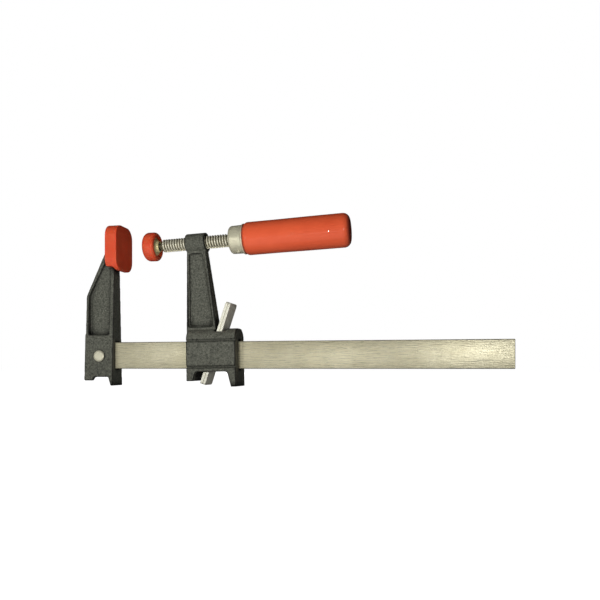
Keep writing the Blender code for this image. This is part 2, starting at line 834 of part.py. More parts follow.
def make_swivel_shoe(swivel, parts):
    """The plated steel shoe: a disc behind the cap and a bell closed over the ball."""
    socket = 0.0059
    seat = BALL_RADIUS + CLEARANCE
    floor = -0.00515
    bell_foot = 0.0089
    profile = [
        (0.00505, SHOE_MOUTH),
        (0.0052, 0.0042),
        (0.0058, 0.0034),
        (0.0068, 0.0024),
        (0.0079, 0.0014),
        (bell_foot, 0.0006),
        (bell_foot, 0.0),
        (SHOE_DISC_RADIUS, 0.0),
        (SHOE_DISC_RADIUS, SHOE_DISC_BACK),
        (0.0, SHOE_DISC_BACK),
    ]
    hollow = [(0.0, floor), (seat, floor), (seat, 0.0002)]
    hollow += arc((0.0, 0.0), socket, 2, 45, 6)
    hollow += [(0.0043, SHOE_MOUTH)]
    shoe = turned("swivel_shoe", hollow + profile, False, swivel, parts)
    paint(shoe, yellow_zinc("shoe_zinc"))
    return shoe


def make_swivel_cap(swivel, parts):
    """The plastic cap snapped over the shoe's disc."""
    gap = CLEARANCE
    back_edge = 0.0028
    front_edge = 0.0045
    profile = [
        (0.0, SHOE_DISC_BACK - gap),
        (SHOE_DISC_RADIUS + gap, SHOE_DISC_BACK - gap),
        (SHOE_DISC_RADIUS + gap, gap),
        (SWIVEL_OPENING, gap),
        (SWIVEL_OPENING, SWIVEL_CAP_BACK),
    ]
    back = (SWIVEL_RADIUS - back_edge, SWIVEL_CAP_BACK - back_edge)
    front = (SWIVEL_RADIUS - front_edge, SWIVEL_FACE + front_edge)
    profile += arc(back, back_edge, 90, 0, 5)
    profile += arc(front, front_edge, 0, -90, 4)
    profile += [(0.0, SWIVEL_FACE)]
    cap = turned("swivel_cap", profile, False, swivel, parts)
    paint(cap, red_plastic("swivel_red"))
    return cap


# ---------------------------------------------------------------- the whole clamp

def main():
    clear_scene()
    parts = make_collection(PARTS_NAME)
    cutters = make_collection(CUTTERS_NAME)
    middle = (JAW_BACK + RAIL_END) / 2
    bench = add_empty("bench", (-middle, 0.0, -FLOOR), 0.0, None, parts)
    arm = add_empty("sliding_arm", (ARM_STATION, 0.0, 0.0), -JAW_CANT, bench, parts)
    clutch = add_empty("clutch", (CLUTCH_X, 0.0, CLUTCH_Z), CLUTCH_LEAN, bench, parts)
    ball_centre = (BALL_X, 0.0, BALL_Z)
    screw = add_empty("screw", ball_centre, math.pi / 2 - SCREW_RISE, bench, parts)
    swivel = add_empty("swivel", ball_centre, math.pi / 2, bench, parts)

    make_rail(bench, parts, cutters)
    make_fixed_jaw(bench, parts, cutters)
    make_rivet(bench, parts)
    make_fixed_pad_cap(bench, parts, cutters)

    make_sliding_jaw(arm, screw, parts, cutters)
    for index, position in enumerate((-1, 1)):
        make_clutch_plate(f"clutch_plate_{index + 1}", position, clutch, parts)
    for name, side in (("clutch_spring_near", -1), ("clutch_spring_far", 1)):
        make_clutch_spring(name, side, bench, parts)

    make_spindle(screw, parts, cutters)
    make_ferrule(screw, parts, cutters)
    make_handle(screw, parts, cutters)
    make_handle_pin(screw, parts)
    make_swivel_ball(screw, parts)
    make_swivel_ring(screw, parts)
    make_swivel_shoe(swivel, parts)
    make_swivel_cap(swivel, parts)


main()
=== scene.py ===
"""Looks for the clutch-style F clamp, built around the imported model.

Every place comes from the frame: the boxes of the bar, the fixed jaw and its pad, and the
joints' axes, give the five working frames that the model was designed in. Each piece below
is drawn in one of them, in metres.
"""

import json
import math

import bmesh
import bpy
from mathutils import Matrix, Vector, noise


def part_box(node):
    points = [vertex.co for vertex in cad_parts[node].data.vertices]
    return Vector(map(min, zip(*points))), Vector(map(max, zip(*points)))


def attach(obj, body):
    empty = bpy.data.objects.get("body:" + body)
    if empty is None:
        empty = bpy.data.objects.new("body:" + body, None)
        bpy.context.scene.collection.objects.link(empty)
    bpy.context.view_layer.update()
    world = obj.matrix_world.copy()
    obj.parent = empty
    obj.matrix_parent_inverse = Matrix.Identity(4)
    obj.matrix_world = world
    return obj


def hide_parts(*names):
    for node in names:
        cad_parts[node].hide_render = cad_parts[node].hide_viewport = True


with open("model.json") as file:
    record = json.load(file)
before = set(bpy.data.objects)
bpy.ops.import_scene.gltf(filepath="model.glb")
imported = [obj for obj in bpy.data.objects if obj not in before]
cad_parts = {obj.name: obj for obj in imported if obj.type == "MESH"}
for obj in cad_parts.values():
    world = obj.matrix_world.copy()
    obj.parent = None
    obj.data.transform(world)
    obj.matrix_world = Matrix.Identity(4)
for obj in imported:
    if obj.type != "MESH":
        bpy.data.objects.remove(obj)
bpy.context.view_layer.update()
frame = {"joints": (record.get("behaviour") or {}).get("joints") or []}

# ---------------------------------------------------------------- places, from the frame

rail_low, rail_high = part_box("rail")
jaw_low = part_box("fixed_jaw")[0]
pad_low, pad_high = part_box("fixed_pad_cap")
joints = {joint["name"]: joint for joint in frame["joints"]}
ball_centre = Vector(joints["screw_turn"]["pos_m"])
screw_axis = Vector(joints["screw_turn"]["axis"])
clutch_edge = Vector(joints["clutch_release"]["pos_m"])

JAW_DEPTH = 0.0295                  # the fixed jaw, from its back to its inner face
ARM_STATION = 0.100                 # the sliding jaw's origin, from the fixed jaw's inner face
JAW_CANT = math.radians(1.05)       # the sliding jaw leans back by its play on the bar
CLUTCH_LEAN = math.radians(18.5)
SCREW_RISE = math.asin(screw_axis.z)
BAR_LINE = (rail_low.z + rail_high.z) / 2

BENCH = Matrix.Translation((jaw_low.x + JAW_DEPTH, 0.0, BAR_LINE))
ARM = BENCH @ Matrix.Translation((ARM_STATION, 0.0, 0.0)) @ Matrix.Rotation(-JAW_CANT, 4, "Y")
CLUTCH = Matrix.Translation(clutch_edge) @ Matrix.Rotation(CLUTCH_LEAN, 4, "Y")
SCREW = Matrix.Translation(ball_centre) @ Matrix.Rotation(math.pi / 2 - SCREW_RISE, 4, "Y")
SWIVEL = Matrix.Translation(ball_centre) @ Matrix.Rotation(math.pi / 2, 4, "Y")
TO_BENCH = BENCH.inverted()

FLOOR = jaw_low.z - BAR_LINE        # the feet, below the bar's centre line
CLEARANCE = 0.0003                  # where one piece fits in or over another
BAR_WAY_HALF_WIDTH = 0.0035         # of the ways that the bar has through the jaw and plates
ACROSS_Y = Matrix.Rotation(math.pi / 2, 4, "X")
ALONG_X = Matrix.Rotation(math.pi / 2, 4, "Z") @ ACROSS_Y


# ---------------------------------------------------------------- mesh tools

def new_object(name, shape, matrix):
    """An object from a bmesh, which is freed."""
    bmesh.ops.recalc_face_normals(shape, faces=shape.faces)
    mesh = bpy.data.meshes.new(name)
    shape.to_mesh(mesh)
    shape.free()
    item = bpy.data.objects.new(name, mesh)
    item.matrix_world = matrix
    bpy.context.scene.collection.objects.link(item)
    return item


def arc(centre, radius, start, end, steps):
    """Points of an arc; angles in degrees from the first axis towards the second."""
    points = []
    for step in range(steps + 1):
        angle = math.radians(start + (end - start) * step / steps)
        points.append((centre[0] + radius * math.cos(angle), centre[1] + radius * math.sin(angle)))
    return points


def rounded(corners, steps=5, closed=True):
    """A path whose corners are (x, y, radius), with an arc at each radius."""
    points = []
    last = len(corners) - 1
    for index, (x, y, radius) in enumerate(corners):
        here = Vector((x, y))
        if radius == 0.0 or (not closed and index in (0, last)):
            points.append(here)
            continue
        before = (Vector(corners[index - 1][:2]) - here).normalized()
        after = (Vector(corners[(index + 1) % len(corners)][:2]) - here).normalized()
        half = before.angle(after) / 2
        centre = here + (before + after).normalized() * (radius / math.sin(half))
        start = here + before * (radius / math.tan(half)) - centre
        end = here + after * (radius / math.tan(half)) - centre
        sweep = start.angle_signed(end)
        for step in range(steps + 1):
            points.append(centre + Matrix.Rotation(-sweep * step / steps, 2) @ start)
    return points


def prism(name, outline, low, high, orientation, matrix):
    """A flat outline drawn in X and Z (ACROSS_Y) or Y and Z (ALONG_X), and given thickness."""
    shape = bmesh.new()
    flip = -1.0 if orientation == ACROSS_Y else 1.0
    ends = [shape.faces.new([shape.verts.new((x, y, flip * low)) for x, y in outline])]
    grown = bmesh.ops.extrude_face_region(shape, geom=ends)["geom"]
    moved = [part for part in grown if isinstance(part, bmesh.types.BMVert)]
    bmesh.ops.translate(shape, verts=moved, vec=(0.0, 0.0, flip * (high - low)))
    bmesh.ops.transform(shape, matrix=orientation, verts=shape.verts)
    return new_object(name, shape, matrix)


def block(name, low, high, matrix):
    shape = bmesh.new()
    low = Vector(low)
    high = Vector(high)
    place = Matrix.Translation((low + high) / 2) @ Matrix.Diagonal((*(high - low), 1.0))
    bmesh.ops.create_cube(shape, size=1.0, matrix=place)
    return new_object(name, shape, matrix)


def rod(name, radius, low, high, matrix, steps=48):
    shape = bmesh.new()
    bmesh.ops.create_cone(
        shape,
        cap_ends=True,
        segments=steps,
        radius1=radius,
        radius2=radius,
        depth=high - low,
        matrix=Matrix.Translation((0.0, 0.0, (low + high) / 2)),
    )
    return new_object(name, shape, matrix)


def add_ring(shape, radius, height, steps):
    """A ring of vertices about local Z, or one vertex on the axis."""
    if radius < 1e-7:
        return [shape.verts.new((0.0, 0.0, height))]
    ring = []
    for step in range(steps):
        angle = math.tau * step / steps
        ring.append(shape.verts.new((radius * math.cos(angle), radius * math.sin(angle), height)))
    return ring


def add_face(shape, corners):
    """A face of the corners, each counted once; fewer than three make none."""
    distinct = list(dict.fromkeys(corners))
    if len(distinct) > 2:
        shape.faces.new(distinct)


def join_rings(shape, first, second):
    """Faces between two rings, either of which may be a single vertex."""
    steps = max(len(first), len(second))
    for step in range(steps):
        after = (step + 1) % steps
        corners = [
            first[step % len(first)],
            first[after % len(first)],
            second[after % len(second)],
            second[step % len(second)],
        ]
        add_face(shape, corners)


def join_stack(shape, rings):
    """Faces from each ring to the next."""
    for first, second in zip(rings, rings[1:]):
        join_rings(shape, first, second)


def turned(name, profile, matrix, steps=72, closed=False):
    """A profile of (radius, z) points turned about local Z."""
    shape = bmesh.new()
    rings = [add_ring(shape, radius, height, steps) for radius, height in profile]
    join_stack(shape, rings)
    if closed:
        join_rings(shape, rings[-1], rings[0])
    return new_object(name, shape, matrix)


def mirrored(profile):
    """The other half of a turned piece's profile, for a piece that is even about z = 0."""
    return [(radius, -height) for radius, height in reversed(profile)]


def settle(item):
    """Apply every modifier of an object."""
    bpy.context.view_layer.update()
    evaluated = item.evaluated_get(bpy.context.evaluated_depsgraph_get())
    mesh = bpy.data.meshes.new_from_object(evaluated)
    item.modifiers.clear()
    item.data = mesh


def combine(item, tool, operation):
    """Add or cut away a tool object, which is used up."""
    modifier = item.modifiers.new("combine", "BOOLEAN")
    modifier.operation = operation
    modifier.solver = "EXACT"
    modifier.object = tool
    settle(item)
    bpy.data.objects.remove(tool, do_unlink=True)


def cut(item, *tools):
    for tool in tools:
        combine(item, tool, "DIFFERENCE")


def join(item, *others):
    for other in others:
        combine(item, other, "UNION")


def soften(item, width, segments=3, angle=40):
    """Round the edges with a bevel."""
    modifier = item.modifiers.new("soften", "BEVEL")
    modifier.width = width
    modifier.segments = segments
    modifier.limit_method = "ANGLE"
    modifier.angle_limit = math.radians(angle)
    settle(item)


def reskin(item, voxel):
    """Give a sharp solid one even skin, with soft edges and filleted corners."""
    remesh = item.modifiers.new("skin", "REMESH")
    remesh.mode = "VOXEL"
    remesh.voxel_size = voxel
    smooth = item.modifiers.new("fillet", "SMOOTH")
    smooth.factor = 0.5
    smooth.iterations = 4
    settle(item)


def cast(item):
    """Finish a solid as a sand casting."""
    reskin(item, voxel=0.00052)
    roughen(item, height=0.00005, size=0.0016)
    smooth_shade(item, 60)


def mould(item):
    """Finish a solid as a plastic moulding."""
    reskin(item, voxel=0.00036)
    smooth_shade(item, 60)


def roughen(item, height, size):
    """Move a fine mesh's points along their normals by smooth noise."""
    normals = [vertex.normal.copy() for vertex in item.data.vertices]
    for vertex, normal in zip(item.data.vertices, normals):
        bump = noise.noise(vertex.co / size) + 0.6 * noise.noise(vertex.co / (size * 0.45))
        vertex.co += normal * (bump * height)


def taper_width(item, half_width_at):
    """Draw in a piece of half width 1 so that its sides follow a draft."""
    for vertex in item.data.vertices:
        vertex.co.y *= half_width_at(vertex.co.z)


def smooth_shade(item, angle=35):
    """Smooth shading, with edges over the angle in degrees left sharp."""
    item.data.shade_smooth()
    item.data.set_sharp_from_angle(angle=math.radians(angle))


# ---------------------------------------------------------------- the bar

def make_bar():
    """The drawn bar: rounded edges, sawn square at its free end."""
    bar = block("bar", TO_BENCH @ rail_low, TO_BENCH @ rail_high, BENCH)
    soften(bar, width=0.0007, segments=4)
    smooth_shade(bar)
    return bar


# ---------------------------------------------------------------- the fixed jaw

JAW_BASE_TOP = 0.0198
JAW_BASE_BOTTOM = -0.0206
JAW_BACK = -JAW_DEPTH
JAW_FLANGE = 0.0045
JAW_PANEL_STEP = 0.0004
JAW_SLOPE_FOOT = 0.0573             # the height at which the jaw's back starts to lean in
FRONT_FOOT_DEPTH = 0.0018
FOOT_HALF_WIDTH = 0.0102
JAW_DRAFT = 0.0420                  # half width lost for each metre of height
NOSE_HALF_WIDTH = 0.0120
NOSE_CORNER = 0.006
NOSE_BACK, NOSE_FRONT = -0.0035, 0.0040
NOSE_BOTTOM, NOSE_TOP = 0.0865, 0.1195
RIVET = (-0.0139, -0.0006)          # its place along the bar, and its height
RIVET_SHANK = 0.0030
RIVET_HEAD = 0.0054
RIVET_PLACE = BENCH @ Matrix.Translation((RIVET[0], 0.0, RIVET[1])) @ ACROSS_Y


def jaw_half_width(height):
    return FOOT_HALF_WIDTH - JAW_DRAFT * (height - FLOOR)


def make_fixed_jaw():
    """The cast jaw: a tapered body with a front flange, a hollow each side, and a nose."""
    slope_top = 0.1108
    outline = rounded([
        (0.0, FLOOR, 0.0006),
        (0.0, slope_top, 0.0),
        (-0.0050, slope_top, 0.0),
        (JAW_BACK + 0.0008, JAW_SLOPE_FOOT, 0.004),
        (JAW_BACK + 0.0008, JAW_BASE_TOP + 0.0015, 0.0),
        (JAW_BACK, JAW_BASE_TOP, 0.0006),
        (JAW_BACK, JAW_BASE_BOTTOM, 0.0008),
        (-FRONT_FOOT_DEPTH, JAW_BASE_BOTTOM, 0.0008),
        (-FRONT_FOOT_DEPTH, FLOOR, 0.0004),
    ])
    jaw = prism("fixed_jaw_casting", outline, -1.0, 1.0, ACROSS_Y, BENCH)
    taper_width(jaw, lambda height: jaw_half_width(height) - JAW_PANEL_STEP)
    flange_outline = [
        (0.0, FLOOR),
        (0.0, slope_top),
        (-JAW_FLANGE, slope_top - 0.004),
        (-JAW_FLANGE, JAW_BASE_BOTTOM),
        (-FRONT_FOOT_DEPTH, FLOOR),
    ]
    flange = prism("front_flange", flange_outline, -1.0, 1.0, ACROSS_Y, BENCH)
    taper_width(flange, jaw_half_width)
    join(jaw, flange, rear_foot())
    for side in (-1, 1):
        cut(jaw, jaw_recess(side))
    join(jaw, prism("nose", nose_outline(0.0), NOSE_BACK, NOSE_FRONT, ALONG_X, BENCH))
    cut(jaw, bar_pocket(), rod("rivet_hole", RIVET_SHANK + CLEARANCE, -0.02, 0.02, RIVET_PLACE))
    cast(jaw)
    return jaw


def nose_outline(gap):
    """The nose's rounded outline, grown by a gap."""
    wide = NOSE_HALF_WIDTH + gap
    return rounded([
        (-wide, NOSE_BOTTOM - gap, NOSE_CORNER),
        (wide, NOSE_BOTTOM - gap, NOSE_CORNER),
        (wide, NOSE_TOP + gap, NOSE_CORNER),
        (-wide, NOSE_TOP + gap, NOSE_CORNER),
    ])


def bar_pocket():
    """The room for the bar's end, open at the jaw's inner face."""
    thick = (rail_high.y - rail_low.y) / 2 + CLEARANCE
    tall = (rail_high.z - rail_low.z) / 2 + CLEARANCE
    return block("pocket", (-0.0253, -thick, -tall), (0.005, thick, tall), BENCH)


def rear_foot():
    """The short foot under the jaw's back, on its near side only."""
    bottom = -0.0240
    root = JAW_BASE_BOTTOM + 0.0010
    outline = rounded([
        (JAW_BACK, root, 0.0),
        (JAW_BACK, bottom, 0.0012),
        (-0.0210, bottom, 0.0008),
        (-0.0182, root, 0.0),
    ])
    side = -jaw_half_width(bottom) + JAW_PANEL_STEP
    return prism("rear_foot", outline, side, side + 0.0036, ACROSS_Y, BENCH)


def jaw_recess(side):
    """The hollow beside the jaw's web, between its two flanges."""
    web_half_width = 0.0031
    back = JAW_BACK + 0.0036
    front = -JAW_FLANGE
    outline = rounded([
        (back, JAW_BASE_TOP, 0.0),
        (front, JAW_BASE_TOP, 0.0),
        (front, 0.0995, 0.0),
        (back, JAW_SLOPE_FOOT - 0.0005, 0.0040),
    ])
    near, far = sorted((side * web_half_width, side * 0.015))
    return prism("jaw_recess", outline, near, far, ACROSS_Y, BENCH)


def make_rivet():
    """The rivet, set by hand: low domed heads with a soft, uneven rim."""
    seat = jaw_half_width(RIVET[1] - RIVET_HEAD) + 0.0001
    head = rounded([
        (0.0, seat + 0.0014, 0.0),
        (RIVET_HEAD - 0.0012, seat + 0.0013, 0.0012),
        (RIVET_HEAD, seat + 0.0006, 0.0004),
        (RIVET_HEAD, seat - 0.0001, 0.0),
        (RIVET_SHANK, seat - 0.0001, 0.0),
    ], closed=False)
    rivet = turned("rivet", head + mirrored(head), RIVET_PLACE)
    roughen(rivet, height=0.00005, size=0.0030)
    smooth_shade(rivet)
    return rivet


def make_fixed_pad():
    """The red cap over the nose: hollow, stepped at the back, and slotted for the jaw."""
    low = TO_BENCH @ pad_low
    high = TO_BENCH @ pad_high
    corner = 0.0105
    outer = rounded([
        (low.y, low.z, corner),
        (high.y, low.z, corner),
        (high.y, high.z, corner),
        (low.y, high.z, corner),
    ], steps=12)
    pad = prism("fixed_pad", outer, low.x, high.x, ALONG_X, BENCH)
    behind = low.x - 0.004
    skirt_bottom = 0.0841
    lip_back = 0.0022
    step = rounded([
        (behind, low.z - 0.003, 0.0),
        (lip_back + 0.0020, low.z - 0.003, 0.0),
        (lip_back + 0.0010, low.z + 0.0010, 0.0010),
        (lip_back, skirt_bottom, 0.0022),
        (behind, skirt_bottom, 0.0),
    ])
    slot_half_width = jaw_half_width(skirt_bottom) + CLEARANCE
    slot_low = (behind, -slot_half_width, low.z - 0.001)
    slot_high = (CLEARANCE, slot_half_width, NOSE_BOTTOM + 0.004)
    cut(
        pad,
        prism("step", step, -0.02, 0.02, ACROSS_Y, BENCH),
        prism("hollow", nose_outline(CLEARANCE), behind, NOSE_FRONT + CLEARANCE, ALONG_X, BENCH),
        block("slot", slot_low, slot_high, BENCH),
    )
    mould(pad)
    return pad


# ---------------------------------------------------------------- the sliding jaw

HOUSING_BACK = -0.0242
HOUSING_FRONT = 0.0230
ARM_BACK = -0.0260
HOUSING_HALF_WIDTH = 0.0145
HOUSING_TOP = 0.0242
HOUSING_SIDE_BOTTOM = -0.0153
BAND_TOP = 0.0129                   # the raised band along each side of the housing
BAND_BOTTOM = -0.0107
ARM_ROOT_HALF_WIDTH = 0.0071
ARM_DRAFT = 0.0430                  # half width lost for each metre of height
ARM_FRONT_FOOT = (0.0031, 0.02295)
ARM_FRONT_SLOPE = 0.1349
BOSS = (0.0324, 0.05185)            # the threaded boss's two ends, along the screw
BORE = 0.0063                       # the way for the screw through the boss and ferrule


def arm_half_width(height):
    return ARM_ROOT_HALF_WIDTH - ARM_DRAFT * (height - HOUSING_TOP)


def arm_front(height):
    """The arm's sloping front edge."""
    return ARM_FRONT_FOOT[0] - ARM_FRONT_SLOPE * (height - ARM_FRONT_FOOT[1])


def make_sliding_jaw():
    """The cast jaw: the clutch's housing on the bar, an upright arm, and the screw's boss."""
    wide = HOUSING_HALF_WIDTH
    narrow = wide - 0.0003
    half = [
        (narrow, FLOOR - 0.002, 0.0),
        (narrow, BAND_BOTTOM, 0.0),
        (wide, BAND_BOTTOM, 0.0),
        (wide, BAND_TOP, 0.0),
        (narrow, BAND_TOP, 0.0),
        (narrow, HOUSING_TOP, 0.0107),
    ]
    other_half = [(-across, height, radius) for across, height, radius in reversed(half)]
    section = rounded(half + other_half, steps=10)
    jaw = prism("sliding_jaw_casting", section, HOUSING_BACK, HOUSING_FRONT, ALONG_X, ARM)
    below_floor = block("floor_plane", (0.05, -0.03, FLOOR - 0.02), (0.15, 0.03, FLOOR), BENCH)
    cut(jaw, underside_arch(), below_floor)
    join(jaw, arm_upright(), screw_boss())
    for side in (-1, 1):
        cut(jaw, arm_pocket(side, inset=0.0, floor=0.0038))
        cut(jaw, arm_pocket(side, inset=0.0013, floor=0.0020))
        for height in (BAND_TOP + 0.0004, BAND_BOTTOM - 0.0004):
            cut(jaw, side_groove(side, height))
    bore = rod("bore", BORE, BOSS[0] - 0.01, BOSS[1] + 0.01, SCREW)
    cut(jaw, bore, clutch_cavity(), bar_tunnel())
    cast(jaw)
    return jaw


def bar_tunnel():
    """The way for the bar, with the play that lets the jaw cant."""
    half_height = 0.01365
    low = (-0.03, -BAR_WAY_HALF_WIDTH, -half_height)
    high = (0.03, BAR_WAY_HALF_WIDTH, half_height)
    return block("tunnel", low, high, ARM)


def underside_arch():
    """The opening under the housing, between a short back foot and the one on the floor."""
    foot_bottom = -0.0237
    depth = FLOOR - 0.008
    outline = rounded([
        (HOUSING_BACK - 0.004, depth, 0.0),
        (HOUSING_BACK - 0.004, foot_bottom, 0.0),
        (-0.0178, foot_bottom, 0.0008),
        (-0.0155, HOUSING_SIDE_BOTTOM, 0.0025),
        (0.0148, HOUSING_SIDE_BOTTOM, 0.0030),
        (0.0182, FLOOR, 0.0),
        (0.0182, depth, 0.0),
    ])
    return prism("underside_arch", outline, -0.02, 0.02, ACROSS_Y, ARM)


def arm_upright():
    """The arm's tapered upright, from inside the housing to the middle of the boss."""
    boss_middle = SCREW @ Vector((0.0, 0.0, sum(BOSS) / 2))
    top = (ARM.inverted() @ boss_middle).z
    foot = HOUSING_TOP - 0.0055
    outline = [
        (ARM_BACK, foot),
        (arm_front(foot), foot),
        (arm_front(top), top),
        (ARM_BACK + 0.0004, top),
    ]
    upright = prism("arm_upright", outline, -1.0, 1.0, ACROSS_Y, ARM)
    taper_width(upright, arm_half_width)
    return upright


def screw_boss():
    boss_radius = 0.0090
    boss = rod("screw_boss", boss_radius, *BOSS, SCREW)
    soften(boss, width=0.0006, segments=2)
    return boss


def arm_pocket(side, inset, floor):
    """One step of the sloping recess in a side of the upright, inside its raised rims."""
    bottom = 0.0265 + inset
    top = 0.0960 - inset
    back = ARM_BACK + 0.0014 + inset
    rim = 0.0028 + inset
    outline = rounded([
        (back, bottom, 0.0012),
        (arm_front(bottom) - rim, bottom, 0.0012),
        (arm_front(top) - rim, top, 0.0015),
        (back, top, 0.0015),
    ])
    near, far = sorted((side * floor, side * 0.02))
    return prism("arm_pocket", outline, near, far, ACROSS_Y, ARM)


def side_groove(side, height):
    """A shallow groove along the edge of the housing's raised band."""
    half = 0.0008
    depth = 0.0013
    face = side * HOUSING_HALF_WIDTH
    outline = [
        (face + side * 0.001, height - half),
        (face - side * depth, height - half),
        (face - side * depth, height + half),
        (face + side * 0.001, height + half),
    ]
    return prism("side_groove", outline, -0.03, 0.03, ALONG_X, ARM)


def clutch_cavity():
    """The hollow for the clutch plates; its back wall slopes with them."""
    lean = math.tan(CLUTCH_LEAN + JAW_CANT)
    half_width = 0.0103
    front = 0.0130
    back_at_top = 0.0033
    ledge_back = -0.0170

    def back_wall(height):
        return back_at_top - (HOUSING_TOP - height) * lean

    above = HOUSING_TOP + 0.006
    below = HOUSING_SIDE_BOTTOM - 0.005
    step = 0.002
    outline = [
        (back_wall(above), above),
        (front, above),
        (front, below),
        (ledge_back, below),
        (ledge_back, step),
        (back_wall(step), step),
    ]
    return prism("clutch_cavity", outline, -half_width, half_width, ACROSS_Y, ARM)


# ---------------------------------------------------------------- the clutch

PLATE_THICKNESS = 0.0024
PLATE_HALF_WIDTH = 0.0098
PLATE_LOW = -0.0485
PLATE_HIGH = 0.0307
PLATE_SLOT = (-0.0346, -0.0055)     # the slot's bottom and top


def make_clutch_plate(name, position):
    """A stamped plate with rolled edges, slotted for the bar."""
    outer = rounded([
        (-PLATE_HALF_WIDTH, PLATE_LOW, 0.0020),
        (PLATE_HALF_WIDTH, PLATE_LOW, 0.0020),
        (PLATE_HALF_WIDTH, PLATE_HIGH, 0.0030),
        (-PLATE_HALF_WIDTH, PLATE_HIGH, 0.0030),
    ], steps=8)
    middle = position * (PLATE_THICKNESS + CLEARANCE) / 2
    low = middle - PLATE_THICKNESS / 2
    high = middle + PLATE_THICKNESS / 2
    plate = prism(name, outer, low, high, ALONG_X, CLUTCH)
    slot_low = (-0.01, -BAR_WAY_HALF_WIDTH, PLATE_SLOT[0])
    slot_high = (0.01, BAR_WAY_HALF_WIDTH, PLATE_SLOT[1])
    cut(plate, block("slot", slot_low, slot_high, CLUTCH))
    soften(plate, width=0.00030)
    smooth_shade(plate)
    return plate


SPRING_START = 0.1003
SPRING_LENGTH = 0.0119
SPRING_TURNS = 5
SPRING_WIRE = 0.0008
SPRING_COIL = 0.0020                # the radius of the coils, to the wire's middle
SPRING_SIDE = 0.0062                # how far the spring stands to the side of the bar
SPRING_HEIGHT = -0.0080


def make_clutch_spring(name, side):
    """A compression spring with its end coils closed."""
    per_turn = 24
    wire_sides = 10
    count = SPRING_TURNS * per_turn
    wire = SPRING_WIRE / 2
    shape = bmesh.new()
    rings = []
    for index in range(count + 1):
        share = index / count
        closing = 0.5 - 0.5 * math.cos(math.pi * share)
        travel = 0.75 * share + 0.25 * closing
        angle = math.tau * index / per_turn
        centre = Vector((
            SPRING_START + wire + (SPRING_LENGTH - SPRING_WIRE) * travel,
            side * SPRING_SIDE + SPRING_COIL * math.cos(angle),
            SPRING_HEIGHT + SPRING_COIL * math.sin(angle),
        ))
        outward = Vector((0.0, math.cos(angle), math.sin(angle)))
        sideways = Vector((1.0, 0.0, 0.0))
        ring = []
        for step in range(wire_sides):
            turn = math.tau * step / wire_sides
            offset = outward * math.cos(turn) + sideways * math.sin(turn)
            ring.append(shape.verts.new(centre + offset * wire))
        rings.append(ring)
    join_stack(shape, rings)
    shape.faces.new(rings[0])
    shape.faces.new(rings[-1])
    spring = new_object(name, shape, BENCH)
    smooth_shade(spring)
    return spring


# ---------------------------------------------------------------- the screw

PITCH = 0.00254
CREST = 0.0060
CORE = 0.0043
JOURNAL = 0.0022                    # the radius of the plain end that the ball turns on
NECK_START = 0.0062                 # where the journal opens out into the thread
NECK_SLOPE = 1.36
THREAD_END = 0.0800
SPINDLE_END = 0.1500
# one pitch of a trapezoidal thread: phase along the axis, and how far up from core to crest
THREAD_FORM = (
    (0.00, 0.90), (0.04, 1.00), (0.36, 1.00), (0.40, 0.90),
    (0.50, 0.08), (0.54, 0.00), (0.86, 0.00), (0.90, 0.08),
)


def thread_envelope(height):
    """The largest radius of the thread, which runs out at both of its ends."""
    runout_slope = 2.0
    opening = JOURNAL + (height - NECK_START) * NECK_SLOPE
    closing = CORE + max(0.0, THREAD_END - height) * runout_slope
    return min(CREST, opening, closing)


def thread_column(shape, foot, share, start):
    """The thread's points up one side of the screw, a share of the way around it.

    The form begins a pitch low, and what falls below start is gathered onto it.
    """
    angle = math.tau * share
    turns = math.ceil((THREAD_END - start) / PITCH) + 1
    column = [foot]
    for turn in range(turns):
        for phase, rise in THREAD_FORM:
            height = start + (turn + phase + share - 1.0) * PITCH
            height = min(max(height, start), THREAD_END)
            radius = min(CORE + (CREST - CORE) * rise, thread_envelope(height))
            point = (radius * math.cos(angle), radius * math.sin(angle), height)
            column.append(shape.verts.new(point))
    return column


def join_columns(shape, here, after, shift):
    """Faces between two columns; where the screw closes, the next one is a pitch behind."""
    for index in range(len(here) - 1):
        low = max(index - shift, 0)
        high = max(index + 1 - shift, 0)
        add_face(shape, [here[index], here[index + 1], after[high], after[low]])
    for index in range(len(here) - 1 - shift, len(here) - 1):
        add_face(shape, [here[-1], after[index + 1], after[index]])


def make_spindle():
    """The screw: a true right-hand trapezoidal thread, a neck, a journal and a peened tip."""
    steps = 64
    shape = bmesh.new()
    start = NECK_START + (CORE - JOURNAL) / NECK_SLOPE
    tip = rounded([
        (0.0, -0.00454, 0.0),
        (0.0022, -0.00454, 0.0004),
        (0.0028, -0.00425, 0.0002),
        (0.0028, -0.00405, 0.0),
        (JOURNAL, -0.00405, 0.0),
        (JOURNAL, NECK_START, 0.0008),
        (CORE, start, 0.0),
    ], steps=4, closed=False)
    rings = [add_ring(shape, radius, height, steps) for radius, height in tip]
    columns = [
        thread_column(shape, foot, step / steps, start)
        for step, foot in enumerate(rings[-1])
    ]
    shank = rounded([
        (CORE, THREAD_END, 0.0),
        (CREST - 0.0006, THREAD_END + 0.0015, 0.0005),
        (CREST - 0.0006, SPINDLE_END, 0.0006),
        (0.0, SPINDLE_END, 0.0),
    ], steps=4, closed=False)
    tail = [add_ring(shape, radius, height, steps) for radius, height in shank]
    for here, after in zip(columns, columns[1:]):
        join_columns(shape, here, after, 0)
    join_columns(shape, columns[-1], columns[0], len(THREAD_FORM))
    join_stack(shape, rings)
    join_stack(shape, tail)
    bmesh.ops.remove_doubles(shape, verts=shape.verts, dist=0.000002)
    spindle = new_object("spindle_screw", shape, SCREW)
    smooth_shade(spindle, 28)
    return spindle


